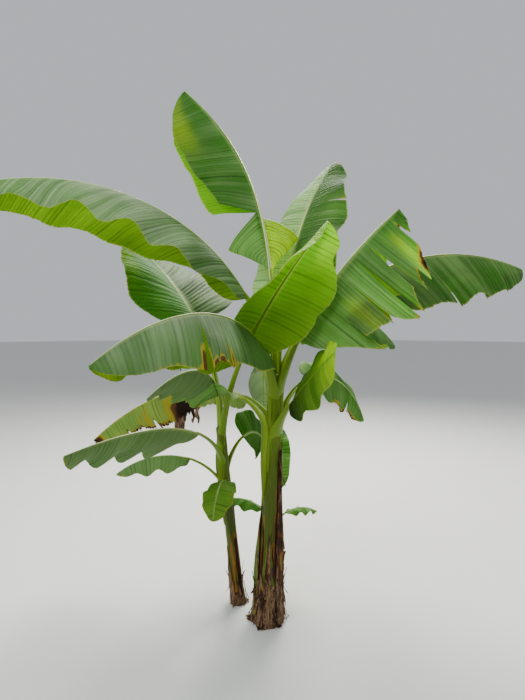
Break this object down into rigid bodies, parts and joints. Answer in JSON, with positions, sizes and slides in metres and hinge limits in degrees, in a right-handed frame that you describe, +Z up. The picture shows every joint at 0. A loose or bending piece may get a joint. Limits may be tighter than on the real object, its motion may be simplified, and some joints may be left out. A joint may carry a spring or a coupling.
{
  "type": "banana plant",
  "caption": "Banana plant clump: stems of wrapped leaf sheaths with long paddle leaves that rise, arch and hang, some torn or browned, rooted in the ground.",
  "frame": {"origin": "centre of the flat cut under the main stem, at ground level", "axes": "+Z up; +Y away from the side the picture was taken from, +X to the right from that side"},
  "size_m": [2.6975, 1.7369, 2.6304],
  "materials": {
    "pseudostem": "satin",
    "old_sheath": "matte",
    "leaf_stalk": "satin",
    "blade_young": "satin",
    "blade_mature": "satin",
    "blade_grey": "satin",
    "blade_old": "matte"
  },
  "bodies": {
    "root": {"blade_back": "blade_mature", "blade_back_left": "blade_mature", "blade_back_right": "blade_mature", "blade_dark_right": "blade_mature", "blade_front_bright": "blade_young", "blade_front_left": "blade_mature", "blade_front_low": "blade_young", "blade_left_arch": "blade_grey", "blade_left_back": "blade_mature", "blade_left_small": "blade_mature", "blade_low_back_right": "blade_mature", "blade_low_left": "blade_mature", "blade_low_right": "blade_young", "blade_lowest_left": "blade_mature", "blade_old_yellow": "blade_old", "blade_right_far": "blade_mature", "blade_right_torn": "blade_mature", "blade_small_back": "blade_mature", "blade_small_right": "blade_mature", "blade_small_up": "blade_mature", "blade_top": "blade_mature", "blade_upper_right": "blade_grey", "pseudostem_main": "pseudostem", "pseudostem_second": "pseudostem", "pseudostem_small": "pseudostem", "sheath_front": "old_sheath", "sheath_left": "old_sheath", "sheath_right": "old_sheath", "sheath_second": "old_sheath", "stalk_back": "leaf_stalk", "stalk_back_left": "leaf_stalk", "stalk_back_right": "leaf_stalk", "stalk_dark_right": "leaf_stalk", "stalk_front_bright": "leaf_stalk", "stalk_front_left": "leaf_stalk", "stalk_front_low": "leaf_stalk", "stalk_left_arch": "leaf_stalk", "stalk_left_back": "leaf_stalk", "stalk_left_small": "leaf_stalk", "stalk_low_back_right": "leaf_stalk", "stalk_low_left": "leaf_stalk", "stalk_low_right": "leaf_stalk", "stalk_lowest_left": "leaf_stalk", "stalk_old_yellow": "leaf_stalk", "stalk_right_far": "leaf_stalk", "stalk_right_torn": "leaf_stalk", "stalk_small_back": "leaf_stalk", "stalk_small_right": "leaf_stalk", "stalk_small_up": "leaf_stalk", "stalk_top": "leaf_stalk", "stalk_upper_right": "leaf_stalk"}
  },
  "joints": []
}
